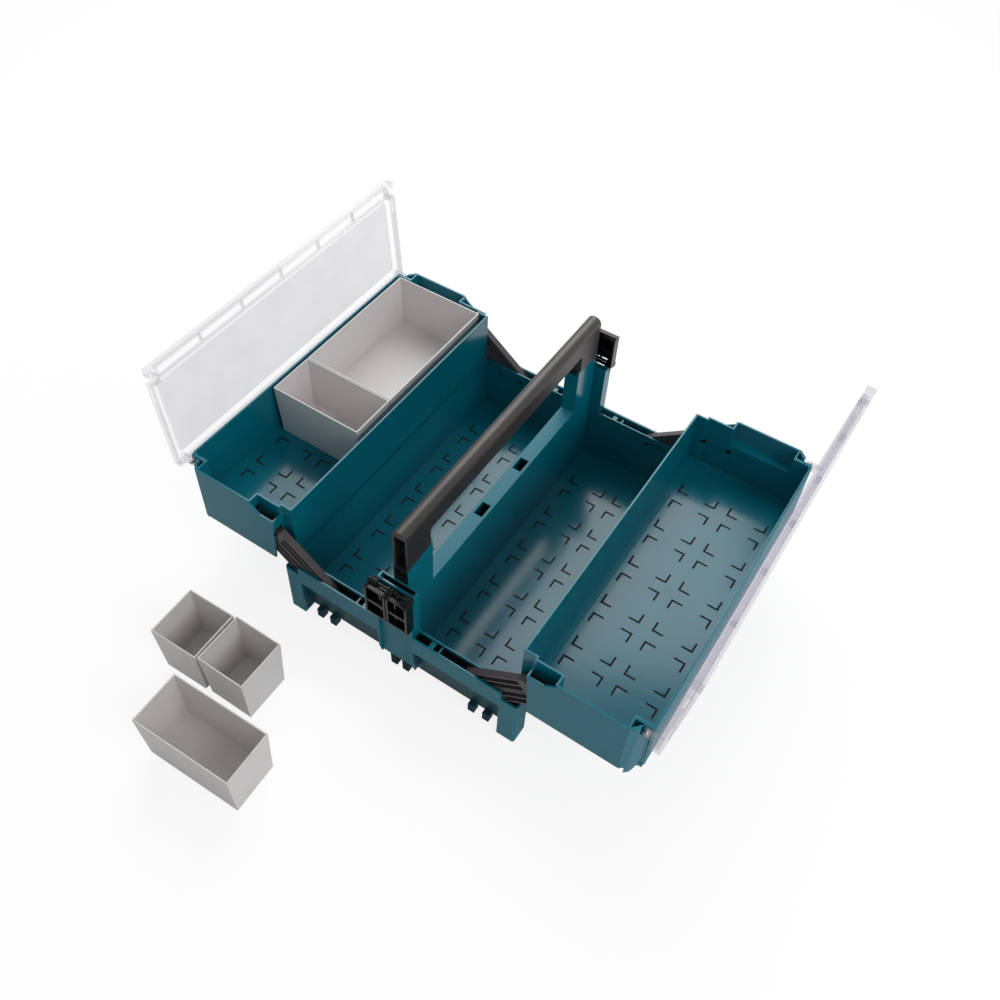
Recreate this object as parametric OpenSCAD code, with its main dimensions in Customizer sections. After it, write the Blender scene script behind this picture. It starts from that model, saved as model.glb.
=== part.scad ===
// Stackable cantilever tool case, drawn open on the floor: a lower tub with a carrying bridge across
// it, two upper trays that swing out on parallel arms, clear lids, end latches and loose insert bins.
// X runs across the case toward the right tray, Y along the grip away from the viewer, Z up.

/* [Case] */
// Length of the case along the grip
case_l = 396; // [300:1:500]
// Width of the closed case across the grip
case_w = 296; // [220:1:380]
// Height of the lower tub's rim
rim_z = 87.6; // [60:0.1:140]
// Top of the tub floor
floor_z = 13.5; // [8:0.1:30]
// Thickness of floors
floor_t = 2.2; // [1.6:0.1:4]
// Thickness of outer skins and bands
skin_t = 2.4; // [1.6:0.1:4]
// Thickness of the tub's end walls
end_t = 2; // [1.6:0.1:4]
// Distance from the tub's inside to the case's long outer face
side_gap = 7.9; // [5:0.1:12]
// Distance from the tub's inside to the case's end face
end_gap = 13.7; // [11:0.1:20]
// Thickness of the flat rim on the long sides
rim_t = 3; // [2:0.1:6]
// Height of the band along the long sides
band_h = 26.6; // [16:0.1:40]
// Distance from the case's end to where the long side's rim stops
rim_end = 17; // [10:0.5:30]
// Distance from the case's side to where the end band steps down
notch_in = 19; // [10:0.5:40]
// How far the corner steps down below the rim
notch_drop = 11.8; // [4:0.1:20]
// Rounding of the step at the corner
notch_r = 3; // [1:0.5:6]
// Width of a corner foot
foot_w = 21; // [12:0.5:40]
// Chamfer under a corner foot
foot_ch = 4; // [1:0.5:8]
// Chamfer of the case corners seen from above
corner_ch = 2.5; // [1:0.1:3]
// Spacing of the ribs behind the long bands
band_rib_step = 45; // [20:1:90]
// Thickness of small ribs
rib_t = 2; // [1:0.1:4]
// Distance of the wide slot rib from the middle
slot_rib_x = 42; // [30:0.5:60]
// Width of the wide slot rib
slot_rib_w = 6; // [2:0.5:12]
// How far the wide slot rib stays under the rim
slot_rib_drop = 2.6; // [1:0.1:8]
// Distance of the thin slot rib from the middle
thin_rib_x = 52; // [45:0.5:70]
// Half width of the keel under the middle of the tub
keel_half = 5; // [3:0.5:12]
// Half length of the keel
keel_half_l = 60; // [20:1:150]

/* [End columns] */
// Width of an end column across its flanges
column_w = 44.8; // [30:0.1:70]
// Lower end of a column
column_z0 = 21; // [10:0.5:60]
// Height of a column's flanges above the rim
column_rise = 69.4; // [50:0.1:100]
// Thickness of a column flange
flange_t = 2.2; // [1.6:0.1:4]
// How far the flanges stand past the case's end face
flange_out = 0.4; // [0:0.1:2]
// Height of the slope at a flange's foot
flange_slope = 14; // [4:0.5:30]
// How far a flange's foot is set back
flange_back = 3; // [1:0.1:8]
// Set-back of the column's panel from the case's end face
panel_in = 4.8; // [2:0.1:7]
// Radius of the ears that hold a latch pin
ear_r = 4; // [3:0.1:6]
// Thickness of an ear along the pin
ear_w = 6.4; // [3:0.1:10]
// Lower end of an ear's gusset below the top of the flanges
ear_drop = 9; // [3:0.5:20]

/* [Stacking catches] */
// Width of a catch block
catch_w = 8; // [4:0.5:14]
// Inner edge of the middle pair of catch blocks
catch_mid_x = 3.5; // [2:0.5:10]
// Lower end of the catch blocks
catch_z = 3; // [1:0.5:8]
// Depth of a catch block past the end wall
catch_d = 7; // [3:0.5:12]
// Top of the side catch blocks
catch_top = 16; // [8:0.5:30]
// Inner edge of the first side catch block, from the case's side
catch_a_in = 60; // [30:0.5:90]
// Inner edge of the second side catch block, from the case's side
catch_b_in = 42; // [30:0.5:70]

/* [Bridge] */
// Half width of the spine at its top
spine_half = 8.6; // [5:0.1:15]
// How far the spine's foot flares past its top on each side
spine_flare = 1.5; // [0:0.1:5]
// Height of the spine between the posts above the rim
spine_rise = 29.1; // [10:0.1:50]
// Wall of the spine and posts
spine_t = 2.2; // [1.6:0.1:4]
// Length of a post along the grip
post_l = 41.4; // [25:0.1:60]
// Gap between a post and the tub's end wall
post_gap = 0.9; // [0.3:0.1:3]
// Height of a post's inner face above the rim
post_rise = 93.4; // [70:0.1:120]
// How far a post's top slopes down outward
post_slope = 4.8; // [0:0.1:10]
// Width of the hand-strap holes in the spine's top
hole_w = 10.5; // [5:0.1:13]
// Inner end of a hole, from the middle of the case
hole_y0 = 29.5; // [10:0.5:60]
// Length of a hole
hole_l = 18.5; // [8:0.5:40]
// Depth of the recess in a post's outer face
post_recess = 4.4; // [2:0.1:8]
// Height of that recess
recess_h = 13.6; // [6:0.1:20]
// Distance of that recess below the post's outer edge
recess_top = 2.6; // [1:0.1:8]
// Tongue that plugs into the grip, its distance from the post's inner face
tongue_in = 9; // [7:0.5:18]
// Length of the tongue
tongue_l = 20; // [8:0.5:28]
// Height of the tongue above the post
tongue_h = 15; // [5:0.5:22]

/* [Grip] */
// Set-back of the grip's end from the post's outer face
grip_set = 0.4; // [0:0.1:2]
// Height of the grip's crown above the posts
grip_rise = 52; // [35:0.5:80]
// Height of the grip's beam
grip_h = 28; // [18:0.5:36]
// Set-back of an end block's foot from the post's inner face
grip_foot = 3; // [0:0.5:8]
// Wall of the grip's end blocks
grip_t = 2.2; // [1.6:0.1:4]
// Inner end of an end block's hollow, from the post's inner face
grip_hollow_in = 6; // [5:0.5:12]
// Thickness of the grip's crown over the hollow
grip_crown = 9; // [5:0.5:14]
// Thickness of the beam below the tunnel
tunnel_floor = 4; // [2:0.5:8]
// Half width of the tunnel through the beam
tunnel_half = 5.4; // [2:0.1:6]
// Depth of the slot in an end block's side below the crown
grip_slot_drop = 10.4; // [9:0.1:20]
// Width of that slot
grip_slot_w = 1.4; // [0.6:0.1:3]
// Inner end of that slot, from the post's inner face
grip_slot_in = 7; // [6:0.5:14]
// Length of that slot
grip_slot_l = 27.7; // [10:0.1:32]
// Chamfer where the beam meets an end block
grip_ch = 3; // [1:0.5:8]

/* [Trays] */
// Gap between a closed tray and the spine
tray_gap = 2.4; // [0.5:0.1:5]
// Rise of an open tray's rim above the tub's rim
tray_rise = 74; // [50:0.1:110]
// Rise of an open tray's floor above the tub's rim
tray_floor_rise = 3.3; // [3:0.1:12]
// How far an open tray's skirts reach below the tub's rim
tray_drop = 4; // [1:0.1:8]
// Thickness of a tray's walls
tray_t = 2.2; // [1.6:0.1:4]
// Height of the ledge along the inner wall above the tray's floor
ledge_h = 3.1; // [2.4:0.1:8]
// Width of that ledge
ledge_w = 10.2; // [6:0.1:14]
// Distance of the narrow inner strip's end wall from the case's end face
strip_in = 15.7; // [14.8:0.1:24]
// Distance of the end pocket from the tray's spine-side face
pocket_in = 13.2; // [8:0.1:20]
// Width of the end pocket
pocket_w = 31.6; // [20:0.1:45]
// Distance of the partition behind the arms from the case's end face
part_in = 14.6; // [13:0.1:20]
// Thickness of that partition
part_t = 2.4; // [1.6:0.1:3]
// Depth of the end shelf and of the pocket's floor below the tray's rim
shelf_drop = 25.1; // [15:0.1:35]
// Depth of the pocket's low rim below the tray's rim
dip_drop0 = 13.1; // [5:0.1:20]
// End of the low rim, from the tray's spine-side face
dip_run0 = 31; // [20:0.5:40]
// Depth of the rim's step at half its height
dip_drop1 = 6.6; // [2:0.1:12]
// Place of that half height, from the tray's spine-side face
dip_run1 = 40; // [30:0.5:50]
// End of the rim's step, from the tray's spine-side face
dip_run2 = 45; // [40:0.5:60]
// Lean of the end skin's inner edge
skin_lean = 5; // [0:0.5:12]
// First plan chamfer of the outer corners, start from the outer face
cut_x1 = 18.6; // [10:0.1:30]
// Second point of the corner chamfer, from the outer face
cut_x2 = 5.6; // [2:0.1:10]
// Second point of the corner chamfer, from the end face
cut_y2 = 12; // [6:0.1:20]
// Third point of the corner chamfer, from the end face
cut_y3 = 17; // [10:0.1:25]
// Width of the corner recess from the outer face
recess_w = 18.9; // [12:0.1:30]
// Inner wall of the corner recess, distance from the case's end face
recess_in = 17.1; // [15:0.1:24]
// Thickness of that wall
recess_wall = 4; // [2:0.1:6]
// Depth of the corner recess below the tray's rim
recess_d = 11.4; // [10:0.1:18]
// Spine-side end of the hinge gap in the corner skin, from the outer face
gap_w = 10.8; // [8:0.1:16]
// Height of a tray's foot below its skirts
tray_foot_h = 11.6; // [4:0.1:12]
// Width of a tray's foot at its tip, from the outer face
tray_foot_w = 14.4; // [8:0.1:24]
// Radius of the hook at the foot's edge
tray_foot_r = 3; // [1:0.1:6]
// Length of a tray's foot along the corner, from the end face
tray_foot_l = 11; // [6:0.5:11.5]
// How much shorter that foot is at its tip
tray_foot_slope = 3; // [0:0.5:6]
// Spacing of the stop ribs under the ledge
stop_rib_step = 60; // [30:1:120]
// Gap between a stop rib and the tub's rim
stop_gap = 0.4; // [0.1:0.1:2]

/* [Arms] */
// Radius of an arm's ends and half its width
arm_r = 8.6; // [6:0.1:12]
// Distance of the arms' inner face from the case's end face
arm_in = 11; // [10.4:0.1:12]
// Room between the arms' lower ends and the floor of the slot they lie in
arm_room = 2.0432; // [0.5:0.0001:6]
// Thickness of an arm
arm_t = 8; // [4:0.1:12]
// Slope of the open arms
arm_open = 37.5; // [20:0.5:60]
// Swing from open to closed
arm_swing = 101; // [60:0.5:120]
// Distance of the inner arms' upper pivot from the tray's spine-side face
pivot_in = 15.9; // [12:0.1:40]
// Height of the upper pivots above the tray's floor
pivot_rise = 34.1; // [12:0.1:40]
// Distance between the inner and the outer arm's pivots
pivot_step = 30; // [18:0.5:60]
// Tip cut of an arm, from its upper pivot
tip_cut = 3.8; // [3:0.1:8.6]
// Depth of the hollows in an arm's outer face
arm_pocket = 5; // [1:0.1:6]
// Width of the rim round those hollows
arm_rim = 2; // [1:0.1:3]
// Distance of the hollows from a pivot
arm_pocket_end = 11; // [8:0.5:20]
// Radius of the arm pins
arm_pin_r = 2.2; // [1.5:0.1:4]
// Depth of a blind pin hole in an outer skin
pin_blind = 1.6; // [0.5:0.1:2]

/* [Lids] */
// Depth of the lid hinge's axis below the tray's rim
hinge_drop = 5.6; // [2:0.1:8]
// Distance of that axis from the tray's outer face
hinge_in = 4.6; // [3:0.1:8]
// Angle at which the right lid stands
lid_angle_right = 96; // [0:0.5:110]
// Angle at which the left lid stands
lid_angle_left = 94.5; // [0:0.5:110]
// Height of a closed lid's top above the tray's rim
lid_rise = 12.4; // [6:0.1:24]
// Gap between a closed lid's edge and the tray's rim
lid_gap = 2; // [0.4:0.1:4]
// Thickness of a lid's walls
lid_t = 2; // [1.2:0.1:3]
// How much shorter than the tray's width a lid is
lid_back = 3; // [1:0.5:8]
// Inset of the window panel at the hinge side and ends
window_in = 10; // [5:0.5:20]
// Inset of the window panel at the free edge
window_free = 24; // [15:0.5:40]
// Corner radius of the window panel
window_r = 6; // [2:0.5:15]
// How far the window panel is sunk
window_drop = 1.2; // [0.4:0.1:3]
// Distance of the inner wall of the free-edge channel from the free edge
channel_w = 15; // [8:0.5:22]
// Spacing of the cross ribs in the channel
channel_rib_step = 62; // [30:1:90]
// Height of the inner channel wall's lower edge above the lid's lower edge
channel_rise = 2; // [0.5:0.1:5]
// Hook at each end of the free edge, its width
hook_w = 8.2; // [4:0.1:12]
// Gap beside a hook
hook_gap = 9.8; // [6:0.1:16]
// Length of a hook along the case
hook_l = 10; // [6:0.1:16]
// Set-back of a hook's tip from the lid's end
hook_back = 0.6; // [0.2:0.1:2]
// Length of the slot in a lid's end skirt
lid_slot_l = 20; // [10:0.5:40]
// Width of that slot
lid_slot_w = 1.6; // [0.8:0.1:3]
// Distance of that slot from the hook gap
lid_slot_in = 5; // [2:0.5:20]
// Radius of a lid's hinge ear
lid_ear_r = 4.4; // [3:0.1:5]
// Thickness of a lid's hinge ear
lid_ear_w = 5; // [3:0.1:8]
// Side gap between an ear and the recess wall
ear_gap = 0.5; // [0.2:0.1:1]
// Radius of a lid hinge pin
hinge_pin_r = 2; // [1:0.1:3]
// Bore of the hollow hinge pin
hinge_pin_bore = 1; // [0.4:0.1:1.6]
// How far a hinge pin stands past its ear
hinge_pin_out = 0.6; // [0.2:0.1:2]
// Depth of a hinge pin in the recess wall
hinge_pin_in = 3.4; // [2:0.1:4]

/* [Latches] */
// Latch pin, distance past the case's end face
latch_off = 2; // [1:0.1:6]
// Latch pin, height above the flanges
latch_rise = 2; // [0:0.1:4]
// How far a latch laps over the column's side
latch_lap = 3.2; // [3:0.1:6]
// Half the gap between the two latches of an end
latch_in = 0.5; // [0.2:0.1:3]
// Thickness of a latch's side plates
latch_side_t = 2.7; // [1.6:0.1:5]
// Height of an upright latch above its pin
latch_h = 46; // [30:0.5:60]
// Outer face of a latch from its pin
latch_out = 1; // [0.5:0.1:3]
// Depth of a latch at its head
latch_d = 11.2; // [6:0.1:14]
// Lower edge of a latch's toe above the pin
toe_z = 1; // [0.5:0.1:4]
// Inner gap between the toe and the pin's middle
toe_in = 4.8; // [4.4:0.1:7]
// Width of the toe
toe_w = 4; // [2:0.1:4]
// Thickness of the toe
toe_t = 1.6; // [1:0.1:1.6]
// Thickness of a latch's outer plate
latch_t = 2.4; // [1.6:0.1:4]
// Radius of a latch's pin eye
latch_eye_r = 3.4; // [2.5:0.1:5]
// Start of the outer plate above the pin
latch_start = 4.8; // [4.2:0.1:8]
// Lower edge of the catch bar above the pin
bar_z = 20.8; // [15:0.1:30]
// Height of the catch bar
bar_h = 4; // [2:0.1:8]
// Inner gap between the catch bar's edge and the latch's inner edge
bar_in = 1; // [0:0.1:4]
// Start of the latch's head above the pin
head_z = 40; // [30:0.5:43]
// Bevel of the head
head_bevel = 3; // [1:0.5:6]
// Distance of a latch's stiffening rib from the middle of the case
latch_rib_x = 9; // [5:0.5:11]
// Depth of the stiffening rib
latch_rib_d = 5; // [2:0.5:8]
// Radius of a latch pin
latch_pin_r = 1.6; // [1:0.1:2.5]
// Swing of a latch
latch_swing = 180; // [150:1:180]

/* [Bins] */
// Height of the bins
bin_h = 71; // [40:0.5:100]
// Module of the bins
bin_step = 60; // [40:1:80]
// How much smaller than its module a bin's rim is
bin_slack = 0.7; // [0.2:0.1:2]
// Taper of a bin on each side
bin_taper = 2.7; // [0:0.1:6]
// Wall of a bin
bin_t = 1.6; // [1:0.1:3]
// Middle of the bins in the left tray, from the tray's spine-side face
bin_row = 71.4; // [70:0.1:80]
// Gap between the far bin's module and the far end wall of its strip
bin_end = 2.3; // [0.5:0.1:40]
// First small bin on the floor, across
small_a_x = -181.8; // [-260:0.1:-100]
// First small bin on the floor, along
small_a_y = -303.7; // [-400:0.1:-250]
// First small bin's turn
small_a_turn = 1.8; // [-20:0.1:20]
// Second small bin on the floor, across
small_b_x = -120.2; // [-200:0.1:-60]
// Second small bin on the floor, along
small_b_y = -301; // [-400:0.1:-250]
// Second small bin's turn
small_b_turn = 0.6; // [-20:0.1:20]
// Medium bin on the floor, across
medium_x = -94.7; // [-200:0.1:-20]
// Medium bin on the floor, along
medium_y = -383.6; // [-500:0.1:-300]
// Medium bin's turn
medium_turn = 2; // [-20:0.1:20]

/* [Floor marks] */
// Distance of a mark's corner from its node
mark_off = 7.35; // [4:0.05:12]
// Length of a mark's legs
mark_leg = 12; // [6:0.1:18]
// Width of a mark's groove
mark_w = 1.4; // [0.8:0.1:3]
// Depth of a mark's groove
mark_d = 0.7; // [0.3:0.1:1.2]
// Middle column of marks in the tub, from the tub's long wall
mark_tub_in = 65.3; // [50:0.1:80]
// Middle column of marks in a tray, from the tray's spine-side face
mark_tray_in = 70; // [60:0.1:80]

/* [Fits] */
// Radial clearance of a pin in an eye that turns
run_fit = 0.06; // [0.01:0.01:0.1]
// Radial clearance of a pin in a wall that holds it
hold_fit = 0.02; // [0:0.01:0.1]
// Radial clearance at the open pivot of each linkage
open_fit = 0.3; // [0.1:0.05:0.6]

/* [Hidden] */
$fn = 64;
over = skin_t / 2;
half_l = case_l / 2;
half_w = case_w / 2;
tub_x = half_w - side_gap;
tub_y = half_l - end_gap;
band_z = rim_z - band_h;
rim_half_l = half_l - rim_end;
notch_x = half_w - notch_in;
notch_z = rim_z - notch_drop;
end_out = tub_y + end_t;
slot_out = half_l - skin_t;
long_out = tub_x + skin_t;
foot_x = half_w - foot_w;
foot_y = half_l - foot_w;

column_half = column_w / 2;
column_z1 = rim_z + column_rise;
flange_y = half_l + flange_out;
panel_y = half_l - panel_in;
ear_z = column_z1 - ear_drop;
catch_a_x = half_w - catch_a_in;
catch_b_x = half_w - catch_b_in;

spine_z = rim_z + spine_rise;
post_y1 = tub_y - post_gap;
post_y0 = post_y1 - post_l;
post_z0 = rim_z + post_rise;
post_z1 = post_z0 - post_slope;
recess_z1 = post_z1 - recess_top;
recess_z0 = recess_z1 - recess_h;
tongue_y0 = post_y0 + tongue_in;
tongue_z = post_z0 + tongue_h;

grip_half_l = post_y1 - grip_set;
grip_z = post_z0 + grip_rise;
grip_under_z = grip_z - grip_h;
grip_block_y = post_y0 + grip_foot;
grip_hollow_y = post_y0 + grip_hollow_in;
grip_hollow_z = grip_z - grip_crown;
tunnel_z0 = grip_under_z + tunnel_floor;
grip_slot_z = grip_z - grip_slot_drop;
grip_slot_y0 = post_y0 + grip_slot_in;
grip_slot_y1 = grip_slot_y0 + grip_slot_l;

tray_x0 = tub_x;
tray_w = half_w - spine_half - tray_gap;
tray_z1 = rim_z + tray_rise;
tray_floor_z = rim_z + tray_floor_rise;
tray_z0 = rim_z - tray_drop;
ledge_z = tray_floor_z + ledge_h;
strip_y = half_l - strip_in;
pocket_x0 = tray_x0 + pocket_in;
pocket_x1 = pocket_x0 + pocket_w;
part_y0 = half_l - part_in;
part_y1 = part_y0 + part_t;
shelf_z = tray_z1 - shelf_drop;
dip_z0 = tray_z1 - dip_drop0;
dip_z1 = tray_z1 - dip_drop1;
recess_y0 = half_l - recess_in;
recess_floor_z = tray_z1 - recess_d;
tray_foot_z = tray_z0 - tray_foot_h;
tray_x1 = tray_x0 + tray_w;
inner_x1 = tray_x1 - tray_t;
riser_x0 = tray_x0 + ledge_w;
recess_x = tray_x1 - recess_w;
recess_y1 = recess_y0 + recess_wall;
hinge_x = tray_x1 - hinge_in;
hinge_z = tray_z1 - hinge_drop;

// The arms are as long as the tray's travel from its open place to the gap beside the spine needs.
arm_l = (tray_x0 - spine_half - tray_gap) / (cos(arm_open) - cos(arm_open + arm_swing));
arm_y0 = half_l - arm_in;
arm_y1 = arm_y0 + arm_t;
pivot_x = tray_x0 + pivot_in;
pivot_z = tray_floor_z + pivot_rise;
lower_x = pivot_x - arm_l * cos(arm_open);
lower_z = pivot_z - arm_l * sin(arm_open);
// The end bands are as deep as the arms' slot behind them needs.
slot_z = lower_z - arm_r - arm_room;
end_band_z = slot_z - skin_t;
foot_z = max(band_z, end_band_z) + skin_t;

lid_half_l = half_l;
lid_len = tray_w - lid_back;
lid_x0 = tray_x1 - lid_len;
lid_slot_x = lid_x0 + hook_w + hook_gap + lid_slot_in;
lid_z0 = tray_z1 + lid_gap;
lid_z1 = tray_z1 + lid_rise;
window_z = lid_z1 - window_drop;
latch_y = half_l + latch_off;
latch_z = column_z1 + latch_rise;
latch_half = column_half + latch_lap;
bin_floor = tray_floor_z;
bin_row_x = -tray_x0 - bin_row;
bin_row_y = strip_y - bin_end;
mark_tub_x = tub_x - mark_tub_in;
mark_tray_x = tray_x0 + mark_tray_in;

teal = [0.0, 0.33, 0.38];
dark = [0.3, 0.27, 0.27];
black = [0.08, 0.08, 0.09];
steel = [0.75, 0.75, 0.77];
clear = [0.9, 0.92, 0.95, 0.35];
pale = [0.78, 0.76, 0.75];

module block(x0, x1, y0, y1, z0, z1)
    translate([x0, y0, z0])
        cube([x1 - x0, y1 - y0, z1 - z0]);

// Draws its child, given in X and Z, as a plate from y0 to y1.
module plate_y(y0, y1)
    translate([0, y1, 0])
        rotate([90, 0, 0])
            linear_extrude(height = y1 - y0)
                children();

// Draws its child, given in Y and Z, as a plate from x0 to x1.
module plate_x(x0, x1)
    translate([x0, 0, 0])
        rotate([90, 0, 90])
            linear_extrude(height = x1 - x0)
                children();

module rod_y(x, z, r, y0, y1)
    translate([x, y1, z])
        rotate([90, 0, 0])
            cylinder(h = y1 - y0, r = r);

module rod_x(y, z, r, x0, x1)
    translate([x0, y, z])
        rotate([0, 90, 0])
            cylinder(h = x1 - x0, r = r);

module both_ends() {
    children();
    mirror([0, 1, 0])
        children();
}

module both_sides() {
    children();
    mirror([1, 0, 0])
        children();
}

module left_side()
    mirror([1, 0, 0])
        children();

// Corner marks that place the bins

module mark_corner()
    translate([mark_off, mark_off]) {
        square([mark_leg, mark_w]);
        square([mark_w, mark_leg]);
    }

module mark_pair() {
    mark_corner();
    mirror([0, 1, 0])
        mark_corner();
}

module mark_field(mid_x, top_z)
    translate([0, 0, top_z - mark_d])
        linear_extrude(height = mark_d + over)
            for (row = [-2 : 2])
                translate([mid_x, row * bin_step]) {
                    mark_pair();
                    mirror([1, 0, 0])
                        mark_pair();
                    translate([-bin_step, 0])
                        mark_pair();
                    translate([bin_step, 0])
                        mirror([1, 0, 0])
                            mark_pair();
                }

// Lower tub

module case_outline()
    polygon([
        [-half_w + corner_ch, -half_l], [half_w - corner_ch, -half_l],
        [half_w, -half_l + corner_ch], [half_w, half_l - corner_ch],
        [half_w - corner_ch, half_l], [-half_w + corner_ch, half_l],
        [-half_w, half_l - corner_ch], [-half_w, -half_l + corner_ch]
    ]);

module tub_box()
    block(-long_out, long_out, -end_out, end_out, floor_z - floor_t, rim_z);

module long_rim() {
    block(tub_x, half_w, -rim_half_l, rim_half_l, rim_z - rim_t, rim_z);
    block(half_w - skin_t, half_w, -foot_y - over, foot_y + over, band_z, rim_z - rim_t);
    block(half_w - skin_t, half_w, -rim_half_l, rim_half_l, band_z, rim_z);
    for (k = [-4 : 4])
        block(tub_x, half_w - over, k * band_rib_step - rib_t / 2, k * band_rib_step + rib_t / 2,
            band_z, rim_z - over);
}

module band_outline() {
    translate([column_half - flange_t, end_band_z])
        square([notch_x - notch_r - column_half + flange_t, rim_z - end_band_z]);
    translate([column_half - flange_t, end_band_z])
        square([notch_x - column_half + flange_t, rim_z - notch_r - end_band_z]);
    translate([notch_x - notch_r, rim_z - notch_r])
        circle(r = notch_r);
    translate([column_half - flange_t, end_band_z])
        square([half_w - column_half + flange_t, notch_z - end_band_z]);
}

module end_band() {
    plate_y(slot_out, half_l)
        band_outline();
    block(column_half - flange_t, foot_x + over, tub_y, half_l, end_band_z, slot_z);
    block(slot_rib_x - slot_rib_w / 2, slot_rib_x + slot_rib_w / 2, tub_y, half_l - over,
        end_band_z, rim_z - slot_rib_drop);
    block(thin_rib_x - rib_t / 2, thin_rib_x + rib_t / 2, tub_y, half_l - over,
        end_band_z, rim_z - slot_rib_drop);
}

module foot_profile(a0, a1, top)
    polygon([
        [a0 + foot_ch, 0], [a1 - foot_ch, 0], [a1, foot_ch], [a1, top], [a0, top], [a0, foot_ch]
    ]);

module foot_post()
    difference() {
        union() {
            intersection() {
                plate_y(foot_y, half_l)
                    foot_profile(foot_x, half_w, foot_z);
                plate_x(foot_x, half_w)
                    foot_profile(foot_y, half_l, foot_z);
            }
            block(half_w - skin_t, half_w, foot_y, half_l, band_z, notch_z);
        }
        block(foot_x + skin_t, half_w - skin_t, end_out, slot_out, foot_ch + skin_t, notch_z + over);
    }

module catch_block(x0, top)
    block(x0, x0 + catch_w, tub_y, end_out + catch_d, catch_z, top);

module flange()
    plate_x(column_half - flange_t, column_half)
        polygon([
            [tub_y, column_z0], [flange_y - flange_back, column_z0],
            [flange_y, column_z0 + flange_slope], [flange_y, column_z1], [tub_y, column_z1]
        ]);

module ear()
    plate_x(column_half - ear_w, column_half) {
        translate([latch_y, latch_z])
            circle(r = ear_r);
        polygon([
            [panel_y - flange_t, ear_z], [flange_y, ear_z], [flange_y, latch_z + ear_r / 2],
            [panel_y - flange_t, column_z1]
        ]);
    }

module end_column() {
    both_sides() {
        flange();
        ear();
        catch_block(catch_mid_x, column_z0 + over);
    }
    block(-column_half + over, column_half - over, panel_y - flange_t, panel_y, column_z0, column_z1);
    block(-column_half, column_half, tub_y, end_out, floor_z, column_z1);
}

module base_solid() {
    tub_box();
    both_sides()
        long_rim();
    both_sides()
        both_ends() {
            end_band();
            foot_post();
            catch_block(catch_a_x, catch_top);
            catch_block(catch_b_x, catch_top);
        }
    both_ends()
        end_column();
    block(-keel_half, keel_half, -keel_half_l, keel_half_l, 0, floor_z);
}

module base_shell()
    color(teal)
        difference() {
            intersection() {
                base_solid();
                union() {
                    linear_extrude(height = column_z1)
                        case_outline();
                    both_ends()
                        block(-column_half, column_half, tub_y, latch_y + ear_r, 0, latch_z + ear_r);
                }
            }
            block(-tub_x, tub_x, -tub_y, tub_y, floor_z, column_z1 + over);
            both_sides()
                mark_field(mark_tub_x, floor_z);
            both_sides()
                both_ends()
                    for (k = [0 : 1])
                        rod_y(lower_x + k * pivot_step, lower_z, arm_pin_r + hold_fit,
                            tub_y - over, slot_out + pin_blind);
            both_ends()
                rod_x(latch_y, latch_z, latch_pin_r + hold_fit, -column_half - over, column_half + over);
        }

module lower_pins()
    color(steel)
        both_sides()
            both_ends()
                for (k = [0 : 1])
                    rod_y(lower_x + k * pivot_step, lower_z, arm_pin_r, tub_y, slot_out + pin_blind);

module latch_pins()
    color(steel)
        both_ends()
            rod_x(latch_y, latch_z, latch_pin_r, -latch_half, latch_half);

// Bridge with its two posts

module spine_section(inset, top)
    polygon([
        [-spine_half - spine_flare + inset, floor_z], [spine_half + spine_flare - inset, floor_z],
        [spine_half - inset, top], [-spine_half + inset, top]
    ]);

module post_side()
    polygon([
        [post_y0, floor_z], [post_y1, floor_z], [post_y1, post_z1], [post_y0, post_z0]
    ]);

module post_solid()
    difference() {
        intersection() {
            union() {
                plate_y(post_y0, post_y1)
                    spine_section(0, spine_z);
                block(-spine_half, spine_half, post_y0, post_y1, spine_z - over, post_z0);
            }
            plate_x(-spine_half - spine_flare, spine_half + spine_flare)
                post_side();
        }
        block(-spine_half + spine_t, spine_half - spine_t, post_y0 + spine_t,
            post_y1 - post_recess - spine_t, floor_z - over, post_z1 - spine_t);
        block(-spine_half + spine_t, spine_half - spine_t, post_y1 - post_recess, post_y1 + over,
            recess_z0, recess_z1);
    }

module bridge()
    color(teal) {
        difference() {
            plate_y(-post_y0 - over, post_y0 + over)
                spine_section(0, spine_z);
            plate_y(-post_y0, post_y0)
                difference() {
                    spine_section(spine_t, spine_z - spine_t);
                    translate([-half_w, floor_z - over])
                        square([case_w, over]);
                }
            both_ends()
                block(-hole_w / 2, hole_w / 2, hole_y0, hole_y0 + hole_l,
                    spine_z - spine_t - over, spine_z + over);
        }
        both_ends() {
            post_solid();
            block(-spine_half + grip_t + hold_fit, spine_half - grip_t - hold_fit, tongue_y0,
                tongue_y0 + tongue_l, post_z1 - spine_t, tongue_z);
        }
    }

// Fixed grip on the posts

module grip_side()
    polygon([
        [-grip_half_l, post_top(grip_half_l)], [-grip_block_y, post_top(grip_block_y)],
        [-post_y0 - grip_ch, grip_under_z - grip_ch], [-post_y0, grip_under_z],
        [post_y0, grip_under_z], [post_y0 + grip_ch, grip_under_z - grip_ch],
        [grip_block_y, post_top(grip_block_y)], [grip_half_l, post_top(grip_half_l)],
        [grip_half_l, grip_z], [-grip_half_l, grip_z]
    ]);

// Height of a post's sloped top at a distance from the middle of the case.
function post_top(y) = post_z0 - (post_z0 - post_z1) * (y - post_y0) / (post_y1 - post_y0);

module grip_section() {
    translate([0, grip_z - spine_half])
        circle(r = spine_half);
    translate([-spine_half, post_z1])
        square([spine_half + spine_half, grip_z - spine_half - post_z1]);
}

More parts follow.
